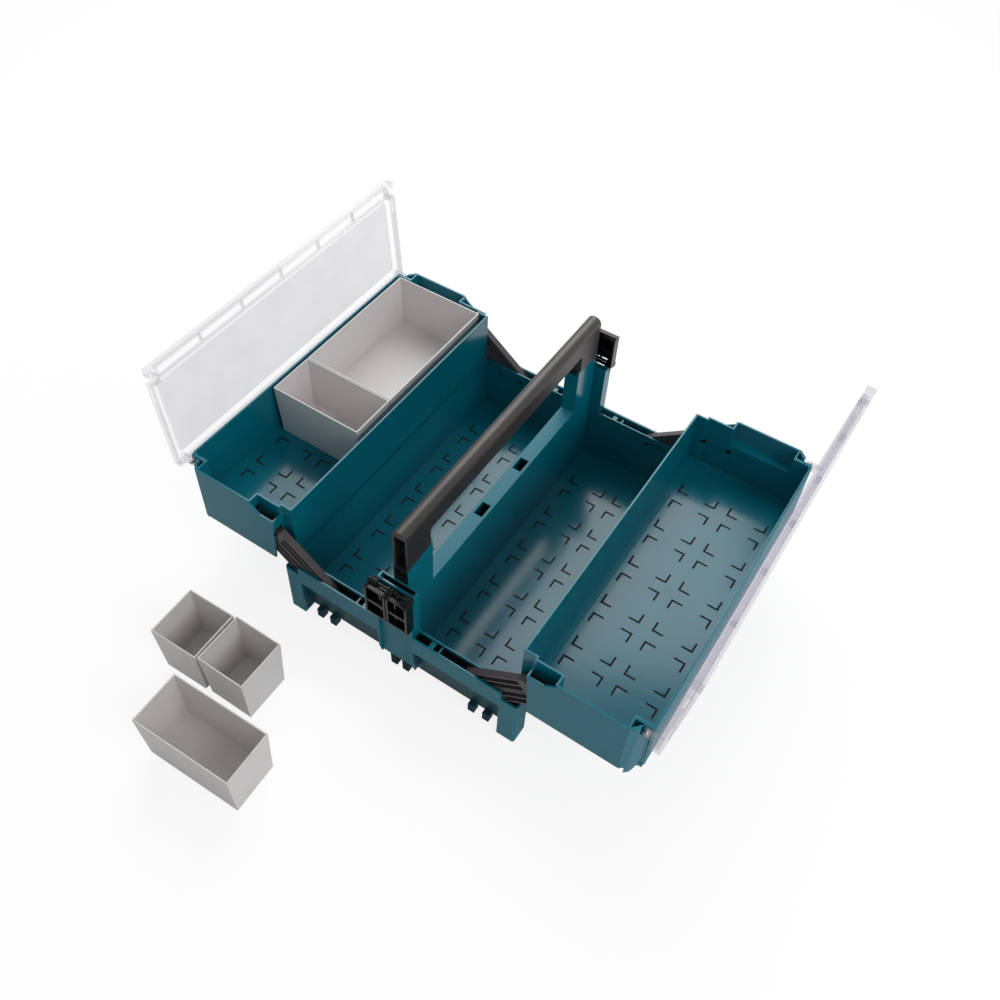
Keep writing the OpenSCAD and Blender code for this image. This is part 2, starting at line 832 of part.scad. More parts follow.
module grip()
    color(dark)
        difference() {
            intersection() {
                plate_x(-spine_half, spine_half)
                    grip_side();
                plate_y(-grip_half_l, grip_half_l)
                    grip_section();
            }
            both_ends() {
                block(-spine_half + grip_t, spine_half - grip_t, grip_hollow_y, grip_half_l + over,
                    post_z1 - over, grip_hollow_z);
                block(-spine_half - over, spine_half + over, grip_slot_y0, grip_slot_y1,
                    grip_slot_z - grip_slot_w / 2, grip_slot_z + grip_slot_w / 2);
            }
            block(-tunnel_half, tunnel_half, -grip_hollow_y - over, grip_hollow_y + over,
                tunnel_z0, grip_hollow_z);
        }

// Trays, drawn for the right side

module tray_plan()
    polygon([
        [tray_x0, -half_l], [tray_x1 - cut_x1, -half_l], [tray_x1 - cut_x2, -half_l + cut_y2],
        [tray_x1, -half_l + cut_y3], [tray_x1, half_l - cut_y3],
        [tray_x1 - cut_x2, half_l - cut_y2], [tray_x1 - cut_x1, half_l], [tray_x0, half_l]
    ]);

// Plan of the hollow behind the end and corner skins.
module tray_plan_inner()
    polygon([
        [tray_x0, -slot_out], [tray_x1 - cut_x1 - skin_t / 2, -slot_out],
        [inner_x1 - cut_x2 - skin_t / 2, -slot_out + cut_y2],
        [inner_x1, -slot_out + cut_y3], [inner_x1, slot_out - cut_y3],
        [inner_x1 - cut_x2 - skin_t / 2, slot_out - cut_y2],
        [tray_x1 - cut_x1 - skin_t / 2, slot_out], [tray_x0, slot_out]
    ]);

// Outline of an end skin seen along the case.
module skin_outline()
    polygon([
        [pocket_x0 + skin_lean, tray_z0], [tray_x1, tray_z0], [tray_x1, tray_z1],
        [tray_x0 + dip_run2, tray_z1], [tray_x0 + dip_run1, dip_z1],
        [tray_x0 + dip_run0, dip_z0], [pocket_x0, dip_z0]
    ]);

module tray_skin()
    intersection() {
        difference() {
            linear_extrude(height = tray_z1)
                tray_plan();
            linear_extrude(height = tray_z1 + over)
                tray_plan_inner();
        }
        union() {
            block(pocket_x1, tray_x1, -half_l, half_l, tray_z0, tray_z1);
            both_ends()
                plate_y(part_y0, half_l)
                    skin_outline();
        }
    }

module tray_foot_side()
    difference() {
        translate([tray_x1 - tray_foot_w - tray_foot_r, tray_foot_z])
            square([tray_foot_w + tray_foot_r, tray_z0 - tray_foot_z + over]);
        translate([tray_x1 - tray_foot_w - tray_foot_r, tray_z0 - tray_foot_r])
            circle(r = tray_foot_r);
        translate([tray_x1 - tray_foot_w - tray_foot_r, tray_foot_z - over])
            square([tray_foot_r, tray_z0 - tray_foot_z - tray_foot_r + over]);
    }

module tray_foot()
    intersection() {
        difference() {
            linear_extrude(height = tray_z1)
                tray_plan();
            linear_extrude(height = tray_z1 + over)
                tray_plan_inner();
        }
        plate_y(half_l - tray_foot_l, half_l)
            tray_foot_side();
        plate_x(recess_x - tray_foot_r, tray_x1)
            polygon([
                [half_l - tray_foot_l, tray_z0 + over], [half_l - tray_foot_l, tray_z0 - tray_foot_r],
                [half_l - tray_foot_l + tray_foot_slope, tray_foot_z], [half_l, tray_foot_z],
                [half_l, tray_z0 + over]
            ]);
    }

module tray_long_walls() {
    block(tray_x0, tray_x0 + tray_t, -strip_y, strip_y, ledge_z - floor_t, tray_z1);
    block(tray_x0, riser_x0 + tray_t, -strip_y, strip_y, ledge_z - floor_t, ledge_z);
    block(riser_x0, riser_x0 + tray_t, -strip_y, strip_y, tray_floor_z - floor_t, ledge_z);
    block(riser_x0, inner_x1 + over, -strip_y, strip_y, tray_floor_z - floor_t, tray_floor_z);
    for (k = [-2 : 2])
        block(tray_x0, riser_x0 + over, k * stop_rib_step - rib_t / 2, k * stop_rib_step + rib_t / 2,
            rim_z + stop_gap, ledge_z - over);
}

module tray_end() {
    block(tray_x0, pocket_x0 + tray_t, strip_y - tray_t, strip_y, ledge_z - floor_t, tray_z1);
    block(riser_x0, pocket_x0 + tray_t, strip_y - tray_t, strip_y, tray_floor_z - floor_t, tray_z1);
    block(pocket_x0, pocket_x0 + tray_t, strip_y - tray_t, part_y1, tray_floor_z - floor_t, tray_z1);
    block(pocket_x0, recess_x + over, part_y0, part_y1, tray_z0, shelf_z);
    block(pocket_x0, pocket_x1, part_y0, part_y1, shelf_z - over, tray_z1);
    block(pocket_x0, inner_x1 + over, strip_y - over, part_y1, tray_floor_z - floor_t, tray_floor_z);
    block(pocket_x0, pocket_x0 + tray_t, part_y0, half_l - over, shelf_z - tray_t, dip_z0);
    block(pocket_x1 - tray_t, pocket_x1, part_y0, half_l - over, shelf_z - tray_t, tray_z1);
    block(pocket_x0, recess_x + over, part_y0, half_l - over, shelf_z - tray_t, shelf_z);
    block(recess_x - tray_t, recess_x, recess_y0, half_l - over, tray_z0, tray_z1);
    block(recess_x - tray_t, inner_x1 + over, recess_y0, recess_y1, tray_z0, tray_z1);
}

module corner_floor()
    intersection() {
        linear_extrude(height = tray_z1)
            tray_plan();
        block(recess_x - over, tray_x1, recess_y1 - over, half_l, recess_floor_z - tray_t, recess_floor_z);
    }

module corner_gap()
    block(tray_x1 - gap_w, tray_x1 + over, recess_y1, half_l + over, recess_floor_z, tray_z1 + over);

module tray()
    color(teal)
        difference() {
            union() {
                tray_skin();
                tray_long_walls();
                both_ends() {
                    tray_end();
                    tray_foot();
                    corner_floor();
                }
            }
            both_ends()
                corner_gap();
            mark_field(mark_tray_x, tray_floor_z);
            both_ends()
                for (k = [0 : 1])
                    rod_y(pivot_x + k * pivot_step, pivot_z, arm_pin_r + hold_fit,
                        part_y0 - over, slot_out + pin_blind);
            both_ends()
                rod_y(hinge_x, hinge_z, hinge_pin_r + hold_fit, recess_y1 - hinge_pin_in, recess_y1 + over);
        }

module upper_pins()
    color(steel)
        both_ends()
            for (k = [0 : 1])
                rod_y(pivot_x + k * pivot_step, pivot_z, arm_pin_r, part_y0, slot_out + pin_blind);

module hinge_pins()
    color(steel)
        both_ends()
            difference() {
                rod_y(hinge_x, hinge_z, hinge_pin_r, recess_y1 - hinge_pin_in,
                    recess_y1 + ear_gap + lid_ear_w + hinge_pin_out);
                rod_y(hinge_x, hinge_z, hinge_pin_bore, recess_y1, half_l);
            }

// Arms, drawn open on the right side; k is 0 for an inner arm and 1 for an outer one

module arm_blank(r)
    rotate(arm_open) {
        circle(r = r);
        translate([0, -r])
            square([arm_l, r + r]);
        translate([arm_l, 0])
            circle(r = r);
    }

// Part of the arm's far end that would meet the end column when the case is closed.
module arm_tip_cut()
    translate([arm_l * cos(arm_open), arm_l * sin(arm_open)])
        rotate(180 - arm_swing)
            translate([tip_cut, -arm_r - arm_r])
                square([arm_r + arm_r, 4 * arm_r]);

module arm_hollows()
    rotate(arm_open)
        for (s = [0 : 1])
            mirror([0, s])
                translate([arm_pocket_end, arm_rim / 2])
                    square([arm_l - arm_pocket_end - arm_pocket_end, arm_r - arm_rim - arm_rim / 2]);

module arm(k, upper_fit)
    color(dark)
        difference() {
            translate([lower_x + k * pivot_step, 0, lower_z])
                difference() {
                    plate_y(arm_y0, arm_y1)
                        difference() {
                            arm_blank(arm_r);
                            arm_tip_cut();
                        }
                    plate_y(arm_y1 - arm_pocket, arm_y1 + over)
                        arm_hollows();
                }
            rod_y(lower_x + k * pivot_step, lower_z, arm_pin_r + run_fit, arm_y0 - over, arm_y1 + over);
            rod_y(pivot_x + k * pivot_step, pivot_z, arm_pin_r + upper_fit, arm_y0 - over, arm_y1 + over);
        }

// Lids, drawn closed over the open right tray and turned about the hinge

module lid_window()
    translate([lid_x0 + window_free, -lid_half_l + window_in]) {
        translate([window_r, 0])
            square([lid_len - window_free - window_in - window_r - window_r, 2 * (lid_half_l - window_in)]);
        translate([0, window_r])
            square([lid_len - window_free - window_in, 2 * (lid_half_l - window_in - window_r)]);
        for (a = [window_r, lid_len - window_free - window_in - window_r])
            for (b = [window_r, 2 * (lid_half_l - window_in) - window_r])
                translate([a, b])
                    circle(r = window_r);
    }

module lid_shell()
    difference() {
        block(lid_x0, tray_x1, -lid_half_l, lid_half_l, lid_z0, lid_z1);
        block(lid_x0 + lid_t, tray_x1 - lid_t, -lid_half_l + lid_t, lid_half_l - lid_t,
            lid_z0 - over, window_z - lid_t);
        translate([0, 0, window_z])
            linear_extrude(height = window_drop + over)
                lid_window();
    }

module lid_ribs() {
    block(lid_x0 + channel_w, lid_x0 + channel_w + lid_t, -lid_half_l + hook_l + lid_t,
        lid_half_l - hook_l - lid_t, lid_z0 + channel_rise, window_z - over);
    for (k = [-2 : 2])
        block(lid_x0 + over, lid_x0 + channel_w + over, k * channel_rib_step - rib_t / 2,
            k * channel_rib_step + rib_t / 2, lid_z0 + channel_rise, window_z - over);
    both_ends() {
        block(lid_x0, lid_x0 + hook_w, lid_half_l - hook_l - lid_t, lid_half_l, lid_z0, lid_z1);
        block(lid_x0, lid_x0 + hook_w + hook_gap + lid_t, lid_half_l - hook_l - lid_t,
            lid_half_l - hook_l, lid_z0, lid_z1 - over);
        block(lid_x0 + hook_w + hook_gap, lid_x0 + hook_w + hook_gap + lid_t,
            lid_half_l - hook_l - lid_t, lid_half_l - over, lid_z0, lid_z1 - over);
    }
}

module lid_ear()
    difference() {
        union() {
            rod_y(hinge_x, hinge_z, lid_ear_r, recess_y1 + ear_gap, recess_y1 + ear_gap + lid_ear_w);
            block(hinge_x - lid_ear_r, hinge_x + lid_ear_r, recess_y1 + ear_gap,
                recess_y1 + ear_gap + lid_ear_w, hinge_z, window_z - over);
        }
        rod_y(hinge_x, hinge_z, hinge_pin_r + run_fit, recess_y1, half_l);
    }

module lid_closed()
    difference() {
        union() {
            lid_shell();
            lid_ribs();
            both_ends()
                lid_ear();
        }
        both_ends() {
            block(lid_x0 + hook_w, lid_x0 + hook_w + hook_gap, lid_half_l - hook_l, lid_half_l + over,
                lid_z0 - over, lid_z1 + over);
            block(lid_x0 - over, lid_x0 + hook_w + over, lid_half_l - hook_back, lid_half_l + over,
                lid_z0 - over, lid_z1 + over);
            block(lid_slot_x, lid_slot_x + lid_slot_l,
                lid_half_l - lid_t - over, lid_half_l + over,
                (lid_z0 + lid_z1) / 2 - lid_slot_w / 2, (lid_z0 + lid_z1) / 2 + lid_slot_w / 2);
        }
    }

module lid(opening)
    color(clear)
        translate([hinge_x, 0, hinge_z])
            rotate([0, opening, 0])
                translate([-hinge_x, 0, -hinge_z])
                    lid_closed();

// Latches, drawn upright at the far end

module latch_side_outline() {
    circle(r = latch_eye_r);
    polygon([
        [latch_out, 0], [latch_out, latch_h - head_bevel], [latch_out - head_bevel, latch_h],
        [latch_out - latch_d + head_bevel, latch_h], [latch_out - latch_d, latch_h - head_bevel],
        [latch_out - latch_d, toe_z], [0, -latch_eye_r]
    ]);
}

// The far end's right latch; it holds the right lid's hook down by its bar.
module latch_up()
    translate([0, latch_y, latch_z])
        difference() {
            union() {
                for (x = [latch_in, latch_half - latch_side_t])
                    plate_x(x, x + latch_side_t)
                        latch_side_outline();
                block(latch_in + over, latch_half - over, latch_out - latch_t, latch_out,
                    latch_start, latch_h - head_bevel);
                intersection() {
                    plate_x(latch_in + over, latch_half - over)
                        latch_side_outline();
                    block(latch_in, latch_half, -latch_d, latch_out, head_z, latch_h);
                }
                block(latch_in + over, latch_half - over, latch_out - latch_d + bar_in,
                    latch_out - over, bar_z, bar_z + bar_h);
                block(latch_in + over, latch_half - over, -toe_in - toe_w, -toe_in, toe_z, toe_z + toe_t);
                block(latch_rib_x - rib_t / 2, latch_rib_x + rib_t / 2,
                    latch_out - latch_t - latch_rib_d, latch_out - over, latch_start, head_z + over);
            }
            rod_x(0, 0, latch_pin_r + run_fit, latch_in - over, latch_half + over);
        }

module latch(turn)
    color(black)
        translate([0, latch_y, latch_z])
            rotate([turn, 0, 0])
                translate([0, -latch_y, -latch_z])
                    latch_up();

// Insert bins

module bin_body(nx, ny, inset, z0)
    intersection() {
        plate_y(-ny * bin_step / 2, ny * bin_step / 2)
            polygon([
                [-(nx * bin_step - bin_slack) / 2 + bin_taper + inset, z0],
                [(nx * bin_step - bin_slack) / 2 - bin_taper - inset, z0],
                [(nx * bin_step - bin_slack) / 2 - inset, bin_h],
                [-(nx * bin_step - bin_slack) / 2 + inset, bin_h]
            ]);
        plate_x(-nx * bin_step / 2, nx * bin_step / 2)
            polygon([
                [-(ny * bin_step - bin_slack) / 2 + bin_taper + inset, z0],
                [(ny * bin_step - bin_slack) / 2 - bin_taper - inset, z0],
                [(ny * bin_step - bin_slack) / 2 - inset, bin_h],
                [-(ny * bin_step - bin_slack) / 2 + inset, bin_h]
            ]);
    }

module bin(nx, ny)
    color(pale)
        difference() {
            bin_body(nx, ny, 0, 0);
            bin_body(nx, ny, bin_t, bin_t);
        }

base_shell();
bridge();
grip();
lower_pins();
latch_pins();
mirror([0, 1, 0]) latch(-latch_swing);  // latch_near_right
left_side() mirror([0, 1, 0]) latch(-latch_swing);  // latch_near_left
latch(0);  // latch_far_right
left_side() latch(-latch_swing);  // latch_far_left
mirror([0, 1, 0]) arm(0, run_fit);  // arm_inner_near_right
arm(0, run_fit);  // arm_inner_far_right
mirror([0, 1, 0]) arm(1, open_fit);  // arm_outer_near_right
arm(1, open_fit);  // arm_outer_far_right
left_side() mirror([0, 1, 0]) arm(0, run_fit);  // arm_inner_near_left
left_side() arm(0, run_fit);  // arm_inner_far_left
left_side() mirror([0, 1, 0]) arm(1, open_fit);  // arm_outer_near_left
left_side() arm(1, open_fit);  // arm_outer_far_left
tray();  // tray_right
upper_pins();  // upper_pins_right
hinge_pins();  // hinge_pins_right
lid(lid_angle_right);  // lid_right
left_side() tray();  // tray_left
left_side() upper_pins();  // upper_pins_left
left_side() hinge_pins();  // hinge_pins_left
left_side() lid(lid_angle_left);  // lid_left
translate([bin_row_x, bin_row_y - 1.5 * bin_step, bin_floor]) bin(2, 3);  // bin_large
translate([bin_row_x, bin_row_y - 3.5 * bin_step, bin_floor]) bin(2, 1);  // bin_medium_tray
translate([medium_x, medium_y, 0]) rotate([0, 0, medium_turn]) bin(2, 1);  // bin_medium_floor
translate([small_a_x, small_a_y, 0]) rotate([0, 0, small_a_turn]) bin(1, 1);  // bin_small_a
translate([small_b_x, small_b_y, 0]) rotate([0, 0, small_b_turn]) bin(1, 1);  // bin_small_b
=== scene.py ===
import math

import bpy
import numpy as np
from mathutils import Matrix

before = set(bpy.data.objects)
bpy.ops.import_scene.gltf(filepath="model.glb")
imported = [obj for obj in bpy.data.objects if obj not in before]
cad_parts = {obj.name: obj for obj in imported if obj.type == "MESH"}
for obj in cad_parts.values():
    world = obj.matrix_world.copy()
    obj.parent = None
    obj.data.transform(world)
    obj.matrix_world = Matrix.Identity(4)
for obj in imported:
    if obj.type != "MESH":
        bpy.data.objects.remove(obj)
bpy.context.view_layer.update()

# The camera stands high in front of the case, to the right of its grip, where the picture was taken from.
# Its lens is about 37 mm on a 36 mm sensor, turned 2.2 degrees about its line of sight and shifted a little.
SENSOR_MM = 36
azimuth, height, roll = math.radians(32.188), math.radians(48.841), math.radians(2.211)
looks_at, distance = np.array((-0.079253, 0.071, 0.060)), 1.23691
frame_px, focal_px, centre_px = 1000, 1023.12, (476.65, 449.31)


def stand(name, data, right, up, back, place):
    """Puts a new object at a place, with its own x, y and z axes along right, up and back."""
    thing = bpy.data.objects.new(name, data)
    axes = np.eye(4)
    axes[:3] = np.stack([right, up, back, place], 1)
    thing.matrix_world = Matrix(axes.tolist())
    bpy.context.scene.collection.objects.link(thing)
    return thing


over_floor = np.array((-math.sin(azimuth), math.cos(azimuth), 0.0))
ahead = over_floor * math.cos(height) - np.array((0.0, 0.0, math.sin(height)))
level = np.array((math.cos(azimuth), math.sin(azimuth), 0.0))
upright = np.cross(level, ahead)
across = level * math.cos(roll) + upright * math.sin(roll)
upward = upright * math.cos(roll) - level * math.sin(roll)
camera = stand("camera", bpy.data.cameras.new("camera"), across, upward, -ahead, looks_at - ahead * distance)
camera.data.sensor_width = SENSOR_MM
camera.data.lens = focal_px / frame_px * SENSOR_MM
camera.data.shift_x = 0.5 - centre_px[0] / frame_px
camera.data.shift_y = centre_px[1] / frame_px - 0.5
camera.data.clip_start, camera.data.clip_end = 0.05, 20
bpy.context.scene.camera = camera


# The lower tub is one moulding of deep teal plastic. Its insides are polished and mirror the bright room
# a little, and its outer bands and skirts have the fine spark-eroded grain of their mould.
def plug(made, sockets):
    """Gives a node's sockets their constants or their links."""
    for name, value in sockets.items():
        if isinstance(value, Wire):
            value.tree.links.new(value.socket, made.inputs[name])
        else:
            made.inputs[name].default_value = value


class Wire:
    """One output of a material's nodes. Sums, products and comparisons with it add Math nodes."""

    def __init__(self, tree, socket):
        self.tree, self.socket = tree, socket

    def node(self, kind, settings, sockets, output=0):
        """Adds a node of a type, makes its settings, and gives its sockets their values or links."""
        made = self.tree.nodes.new("ShaderNode" + kind)
        for name, value in settings.items():
            setattr(made, name, value)
        plug(made, sockets)
        return Wire(self.tree, made.outputs[output])

    def math(self, operation, *others):
        """A Math node on this value and the others."""
        return self.node("Math", {"operation": operation}, dict(enumerate((self, *others))))

    def __add__(self, other):
        return self.math("ADD", other)

    def __sub__(self, other):
        return self.math("SUBTRACT", other)

    def __rsub__(self, other):
        return self.node("Math", {"operation": "SUBTRACT"}, {0: other, 1: self})

    def __mul__(self, other):
        return self.math("MULTIPLY", other)

    def __gt__(self, other):
        return self.math("GREATER_THAN", other)

    def __lt__(self, other):
        return self.math("LESS_THAN", other)

    def __abs__(self):
        return self.math("ABSOLUTE")

    __radd__ = __add__
    __rmul__ = __mul__

    def parts(self):
        """The x, y and z of a vector."""
        return [self.node("SeparateXYZ", {}, {"Vector": self}, output) for output in range(3)]

    def noise(self, cells, detail, stretch=(1, 1, 1)):
        """Cloudy noise from 0 to 1 at this many cells a metre, drawn out along an axis by a small stretch."""
        place = self.node("Mapping", {}, {"Vector": self, "Scale": stretch})
        return self.node("TexNoise", {}, {"Vector": place, "Scale": cells, "Detail": detail})

    def bump(self, strength, deepest, relief):
        """Normals for the relief, from 0 to 1, that is this deep at most."""
        return self.node("Bump", {}, {"Strength": strength, "Distance": deepest, "Height": relief})

    def within(self, low, high):
        """1 where the value is between two limits."""
        return (self > low) * (self < high)

    def shade(self, dark, light):
        """A colour that goes from dark to light as this value goes from 0 to 1. Either may be a wire."""
        ends = [end if isinstance(end, Wire) else (*end, 1) for end in (dark, light)]
        return self.node("Mix", {"data_type": "RGBA"}, {0: self, 6: ends[0], 7: ends[1]}, output=2)


def coordinates(made, kind):
    """A wire for the place on the piece, if kind is Object, or for the way it faces there, if Normal."""
    return Wire(made.node_tree, made.node_tree.nodes.new("ShaderNodeTexCoord").outputs[kind])


def new_finish(name):
    """A material with its shader, and a wire for the place on the piece."""
    made = bpy.data.materials.new(name)
    made.use_nodes = True
    return made, made.node_tree.nodes["Principled BSDF"], coordinates(made, "Object")


TEAL, TEAL_DEEP = (0.0, 0.172, 0.238), (0.0, 0.132, 0.186)
GRAIN_PALE = [0.8 * value + 0.05 for value in TEAL]
# Near-black teal, painted as shade in marks, slots and recesses; a share of it marks the trays' gate rings.
PAINTED_SHADE_BLACK = (0.0, 0.004, 0.006)


def moulded(name, grained, deep):
    """Moulded plastic: polished faces with faint flow marks, and a coarser, duller grain where grained is 1.
    grained and deep are functions of the place and the facing. deep gives 1 where the plastic is painted
    almost black as painted shade, in the floor marks and in narrow slots and recesses, and less on the trays'
    gate rings."""
    made, shader, place = new_finish(name)
    at, facing = place.parts(), coordinates(made, "Normal").parts()
    rough, painted_shade_mask = grained(at, facing), deep(at, facing)
    cloud = place.noise(cells=14, detail=3)
    flow = place.noise(cells=9, detail=4, stretch=(1, 6, 2))
    grain = place.noise(cells=700, detail=4)
    teal = (cloud * 0.6 + flow * 0.4).shade(TEAL_DEEP, TEAL)
    # Painted shade: where the deep mask is 1, the colour goes to near black.
    colour = painted_shade_mask.shade((rough * (grain * 0.5)).shade(teal, GRAIN_PALE), PAINTED_SHADE_BLACK)
    smooth = 0.13 + flow * 0.07 + painted_shade_mask * 0.5
    plug(shader, {"Base Color": colour, "Roughness": smooth + rough * (0.3 + grain * 0.12), "IOR": 1.45,
                  "Normal": place.bump(0.6, 0.00016, rough * grain + cloud * 0.15)})
    return made


WELDED, BEND = 0.000002, math.radians(32)


def dress(node, finish, radius=0.00035):
    """Gives a CAD node its finish, rounds its edges that bend by more than BEND, and evens the shading."""
    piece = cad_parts[node]
    piece.data.materials.clear()
    piece.data.materials.append(finish)
    piece.modifiers.new("weld", "WELD").merge_threshold = WELDED
    edge = piece.modifiers.new("edge", "BEVEL")
    edge.width, edge.segments, edge.limit_method, edge.angle_limit = radius, 2, "ANGLE", BEND
    edge.use_clamp_overlap = False
    even = piece.modifiers.new("even", "WEIGHTED_NORMAL")
    even.weight, even.keep_sharp = 80, False


LEAST, MOST = -1.0, 1.0  # limits past every face of the case


def inside(at, **limits):
    """1 where the distances x and y from the middle planes and the height z are within the limits given."""
    values = {"x": abs(at[0]), "y": abs(at[1]), "z": at[2]}
    return math.prod(values[axis].within(*limit) for axis, limit in limits.items())


GRID_HALF = 0.030
MARK_GAP, MARK_WIDTH, MARK_LENGTH, MARK_EDGE = 0.00735, 0.0014, 0.012, 0.0004
FIELD_X, FIELD_Y = 0.060, 0.1450


def corner_marks(at, middle, top):
    """1 in and just beside the corner marks of a floor at height top. They repeat every 60 mm both ways from
    the point (middle, 0). Each is two legs, 12 mm long and 1.4 mm wide, that meet 7.35 mm from the lines
    between bins."""
    beside = abs(at[0]) - middle
    u, v = (value.math("PINGPONG", GRID_HALF) for value in (beside, at[1]))
    narrow = MARK_GAP - MARK_EDGE, MARK_GAP + MARK_WIDTH + MARK_EDGE
    long = MARK_GAP - MARK_EDGE, MARK_GAP + MARK_LENGTH + MARK_EDGE
    legs = (u.within(*long) * v.within(*narrow) + v.within(*long) * u.within(*narrow)) > 0.5
    field = (abs(beside) < FIELD_X) * (abs(at[1]) < FIELD_Y)
    return legs * field * at[2].within(top - 0.0010, top + 0.0001)


TUB_END_Y, TUB_SIDE_X = 0.1915, 0.1462
TUB_MIDDLE, TUB_FLOOR = 0.0748, 0.0135
RECESS_X, RECESS_Y, SLOT_BOTTOM, SLOT_TOP = (0.0223, 0.1455), (0.1862, 0.1956), 0.0600, 0.0845
COLUMN_X, COLUMN_Y, COLUMN_TOP = 0.0202, (0.1862, 0.1909), 0.1566
EAR_X, EAR_Y, EAR_BOTTOM = (0.0158, 0.0226), 0.1934, 0.1490
CATCH_X, CATCH_Y, CATCH_TOP = 0.0120, 0.1862, 0.0206
SIDE_X, SIDE_Y, SIDE_TOP = (0.1424, 0.1455), 0.1770, 0.0842


def tub_grained(at, facing):
    """1 on what the tub shows outwards: past the inner end walls and past the long walls."""
    ends = (abs(at[1]) > TUB_END_Y) * (abs(facing[1]) > 0.5)
    sides = (abs(at[0]) > TUB_SIDE_X) * (abs(facing[0]) > 0.5)
    return ends + sides


def tub_painted_shade(at, facing):
    """Painted shade: 1 in the marks sunk 0.7 mm into the tub's floor, in the arms' slots, in the columns, on
    the ears by the columns' tops and on the long walls under the side bands, and a share of that on the
    recessed end walls, more toward their foot, and on their catch blocks."""
    marks = corner_marks(at, TUB_MIDDLE, TUB_FLOOR)
    slots = inside(at, x=RECESS_X, y=RECESS_Y, z=(SLOT_BOTTOM, SLOT_TOP))
    columns = inside(at, x=(LEAST, COLUMN_X), y=COLUMN_Y, z=(LEAST, COLUMN_TOP))
    ears = inside(at, x=EAR_X, y=(EAR_Y, MOST), z=(EAR_BOTTOM, MOST))
    sides = inside(at, x=SIDE_X, y=(LEAST, SIDE_Y), z=(LEAST, SIDE_TOP))
    walls = inside(at, x=RECESS_X, y=RECESS_Y, z=(LEAST, SLOT_BOTTOM)) * (0.80 - at[2] * 5.5)
    catches = inside(at, x=(LEAST, CATCH_X), y=(CATCH_Y, MOST), z=(LEAST, CATCH_TOP)) * 0.9
    shaded = walls.math("MAXIMUM", catches)
    return (marks + slots + columns + ears + sides).math("MAXIMUM", shaded).math("MINIMUM", 1.0)


dress("base_shell", moulded("tub_plastic", tub_grained, tub_painted_shade))

# The bridge stands across the tub's middle, of the same teal plastic. Its sides are polished, and the narrow
# top that a thumb rubs along has the mould's grain.
GRAINED_ABOVE = 0.05
TONGUE_X, TONGUE_BOTTOM = 0.0065, 0.1758
POST_OUTER_Y, POST_BOTTOM = 0.1786, 0.0900
HOLLOW_X, HOLLOW_Z = 0.0066, (0.1594, 0.1741)


def bridge_grained(at, facing):
    """1 on the faces that look up."""
    return (facing[2] > 0.6) * (at[2] > GRAINED_ABOVE)


def bridge_painted_shade(at, facing):
    """Painted shade: 1 on what stands inside the grip's end blocks, and on the posts' outer faces in a narrow
    gap.
    """
    tongue = inside(at, x=(LEAST, TONGUE_X), z=(TONGUE_BOTTOM, MOST))
    outer = inside(at, y=(POST_OUTER_Y, MOST), z=(POST_BOTTOM, MOST)) * (abs(facing[1]) > 0.5)
    hollow = inside(at, x=(LEAST, HOLLOW_X), y=(POST_OUTER_Y, MOST), z=HOLLOW_Z)
    return (tongue + outer + hollow) > 0.5


dress("bridge", moulded("bridge_plastic", bridge_grained, bridge_painted_shade))

# The grip is a hollow bar of dark, warm grey plastic that plugs onto the bridge's posts. It is grained all
# over, with a painted highlight along its crown and painted light toward the far end.
GRIP_DARK, GRIP_LIGHT = (0.022, 0.017, 0.017), (0.076, 0.062, 0.062)
PAINTED_LIGHT_A_METRE = 1.4


def grip_plastic(name, dark, light, roughness, grain_height):
    """Grained plastic with painted light: a little paler toward the far end, and paler and smoother where it
    faces up.
    """
    made, shader, place = new_finish(name)
    at, facing = place.parts(), coordinates(made, "Normal").parts()
    grain = place.noise(cells=900, detail=3)
    cloud = place.noise(cells=22, detail=3)
    # Painted highlight: where it faces up the colour is paler, and the finish a little smoother.
    painted_crown_highlight = (facing[2] > 0.3) * (0.3 + cloud * 0.4)
    # Painted light: the colour gets paler toward the far end, in step with y.
    colour = (cloud * 0.45 + grain * 0.3 + painted_crown_highlight * 0.3 + at[1] * PAINTED_LIGHT_A_METRE).shade(dark, light)
    plug(shader, {"Base Color": colour, "Roughness": roughness + grain * 0.12 - painted_crown_highlight * 0.06, "IOR": 1.5,
                  "Normal": place.bump(0.7, grain_height, grain)})
    return made


dress("grip", grip_plastic("grip_plastic", GRIP_DARK, GRIP_LIGHT, 0.34, 0.0002), 0.00025)

# The two upper trays are teal mouldings with polished insides. Their end skins and outer walls are grained,
# and their floors carry the marks that the insert bins stand between.
TRAY_END_Y, TRAY_SIDE_X = 0.1918, 0.2755
TRAY_MIDDLE, TRAY_FLOOR = 0.2101, 0.0909
POCKET_X, POCKET_Y, POCKET_TOP = (0.1534, 0.1848), (0.1860, 0.1955), 0.1475
GATES = (0.1768, 0.0548), (0.2092, 0.0008)
GATE_RADII, GATE_Z, GATE_SHARE = (0.0028, 0.0034), (0.0905, 0.0911), 0.22
PEGS_X, PEG_Z, PEG_RADIUS, PEG_WALL_Y = (0.1560, 0.1860), 0.1250, 0.0029, (0.1780, 0.1862)


def tray_grained(at, facing):
    """1 on the end skins, the chamfered corners and the outer long wall."""
    ends = (abs(at[1]) > TRAY_END_Y) * (abs(facing[1]) > 0.15)
    sides = (abs(at[0]) > TRAY_SIDE_X) * (abs(facing[0]) > 0.5)
    return (ends + sides) > 0.5


def squared_from(first, second, point):
    """The squared distance from a point, out of two of the place's values."""
    off_first, off_second = first - point[0], second - point[1]
    return off_first * off_first + off_second * off_second


def gate_ring(at, point):
    """1 on a faint ring, about 3 mm in radius, that a gate of the mould left on a tray's floor."""
    away = squared_from(abs(at[0]), at[1], point)
    return away.within(*(radius * radius for radius in GATE_RADII)) * at[2].within(*GATE_Z)


